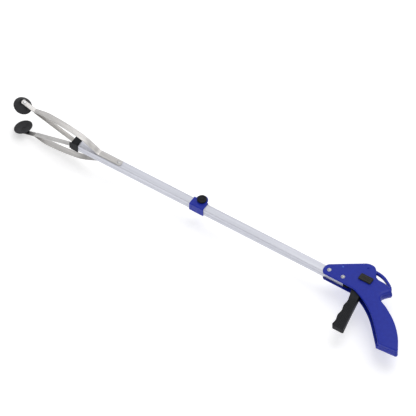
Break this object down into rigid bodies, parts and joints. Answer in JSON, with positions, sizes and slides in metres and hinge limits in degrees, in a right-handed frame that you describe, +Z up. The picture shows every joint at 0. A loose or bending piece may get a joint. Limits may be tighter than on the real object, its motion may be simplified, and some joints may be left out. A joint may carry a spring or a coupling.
{
  "type": "folding reacher grabber",
  "caption": "Folding reacher grabber: pistol-grip handle and trigger on a square tube that folds at a collar, with sprung strip jaws ending in suction cups.",
  "frame": {"origin": "centre of the bottom of the part's box, with the part lying on its side", "axes": "+X along the tube from the jaws to the handle, +Y from the trigger side to the back, +Z up across the handle's two cheeks, which is also the way the jaws open"},
  "size_m": [0.8174, 0.1404, 0.0849],
  "materials": {
    "blue_plastic": "semi-gloss moulded ABS, royal blue",
    "black_plastic": "fine-textured moulded nylon, black",
    "black_rubber": "soft matt rubber",
    "tube_aluminium": "satin anodised, drawn lengthwise",
    "strip_steel": "rolled spring steel, brushed lengthwise",
    "rivet_aluminium": "bright domed rivet",
    "steel": "zinc plated"
  },
  "bodies": {
    "handle": {"handle_shell_upper": "blue_plastic", "handle_shell_lower": "blue_plastic", "shell_screws": "steel", "handle_rivets": "rivet_aluminium", "trigger_pin": "steel", "rear_tube": "tube_aluminium", "hinge_socket": "blue_plastic", "hinge_plug": "black_plastic", "rear_rod_guide": "black_plastic", "fold_pin": "steel", "clamp_nut": "steel", "pull_cable": "steel"},
    "knob": {"lock_knob": "black_plastic"},
    "trigger_lever": {"trigger": "black_plastic"},
    "lock_slide": {"lock_slider": "black_plastic", "slider_foot": "black_plastic"},
    "rear_rod": {"pull_rod_rear": "steel", "clevis_pin": "steel"},
    "boom": {"front_tube": "tube_aluminium", "hinge_tongue": "black_plastic", "front_rod_guide": "black_plastic", "end_cap": "black_plastic", "strip_rivets": "rivet_aluminium", "upper_strip_root": "strip_steel", "lower_strip_root": "strip_steel"},
    "front_rod": {"pull_rod_front": "steel", "crosshead": "black_plastic", "link_pins": "steel"},
    "upper_link_bar": {"upper_link": "strip_steel"},
    "upper_arm": {"upper_strip_middle": "strip_steel"},
    "upper_jaw": {"upper_strip_tip": "strip_steel", "upper_cup_seat": "black_plastic", "upper_cup_stud": "rivet_aluminium", "upper_suction_cup": "black_rubber"},
    "lower_link_bar": {"lower_link": "strip_steel"},
    "lower_arm": {"lower_strip_middle": "strip_steel"},
    "lower_jaw": {"lower_strip_tip": "strip_steel", "lower_cup_seat": "black_plastic", "lower_cup_stud": "rivet_aluminium", "lower_suction_cup": "black_rubber"}
  },
  "joints": [
    {"name": "fold", "type": "hinge", "parent": "handle", "child": "boom", "pos_m": [-0.03812, 0.03047, 0.04243], "axis": [0, 0, -1], "range_deg": [0, 170], "deforming": ["pull_cable"]},
    {"name": "knob_turn", "type": "hinge", "parent": "handle", "child": "knob", "pos_m": [-0.03812, 0.03047, 0.04243], "axis": [0, 0, 1], "range_deg": [0, 180]},
    {"name": "trigger_squeeze", "type": "hinge", "parent": "handle", "child": "trigger_lever", "pos_m": [0.27518, 0.05877, 0.04243], "axis": [0, 0, 1], "range_deg": [0, 16], "stiffness_Nm_per_rad": 2},
    {"name": "lock_slide_travel", "type": "slide", "parent": "handle", "child": "lock_slide", "axis": [1, 0, 0], "range_m": [0, 0.006]},
    {"name": "rear_rod_pull", "type": "slide", "parent": "handle", "child": "rear_rod", "axis": [1, 0, 0], "range_m": [0, 0.0105]},
    {"name": "front_rod_pull", "type": "slide", "parent": "boom", "child": "front_rod", "axis": [1, 0, 0], "range_m": [0, 0.0105]},
    {"name": "upper_link_swing", "type": "hinge", "parent": "front_rod", "child": "upper_link_bar", "pos_m": [-0.28412, 0.02187, 0.04643], "axis": [0, -1, 0], "range_deg": [0, 12.58]},
    {"name": "upper_arm_bow", "type": "hinge", "parent": "boom", "child": "upper_arm", "pos_m": [-0.23712, 0.02187, 0.05033], "axis": [0, 1, 0], "range_deg": [0, 4.47]},
    {"name": "upper_jaw_close", "type": "hinge", "parent": "upper_arm", "child": "upper_jaw", "pos_m": [-0.30012, 0.02187, 0.07473], "axis": [0, -1, 0], "range_deg": [0, 24.95]},
    {"name": "lower_link_swing", "type": "hinge", "parent": "front_rod", "child": "lower_link_bar", "pos_m": [-0.28412, 0.02187, 0.03843], "axis": [0, 1, 0], "range_deg": [0, 12.58]},
    {"name": "lower_arm_bow", "type": "hinge", "parent": "boom", "child": "lower_arm", "pos_m": [-0.23712, 0.02187, 0.03453], "axis": [0, -1, 0], "range_deg": [0, 4.47]},
    {"name": "lower_jaw_close", "type": "hinge", "parent": "lower_arm", "child": "lower_jaw", "pos_m": [-0.30012, 0.02187, 0.01013], "axis": [0, 1, 0], "range_deg": [0, 24.95]}
  ],
  "couplings": [
    {"joint": "rear_rod_pull", "follows": "trigger_squeeze", "m_per_rad": 0.0376},
    {"joint": "front_rod_pull", "follows": "trigger_squeeze", "m_per_rad": 0.0376},
    {"joint": "upper_link_swing", "follows": "trigger_squeeze", "ratio": 0.78624},
    {"joint": "upper_arm_bow", "follows": "trigger_squeeze", "ratio": 0.27937},
    {"joint": "upper_jaw_close", "follows": "trigger_squeeze", "ratio": 1.5594},
    {"joint": "lower_link_swing", "follows": "trigger_squeeze", "ratio": 0.78624},
    {"joint": "lower_arm_bow", "follows": "trigger_squeeze", "ratio": 0.27937},
    {"joint": "lower_jaw_close", "follows": "trigger_squeeze", "ratio": 1.5594}
  ]
}
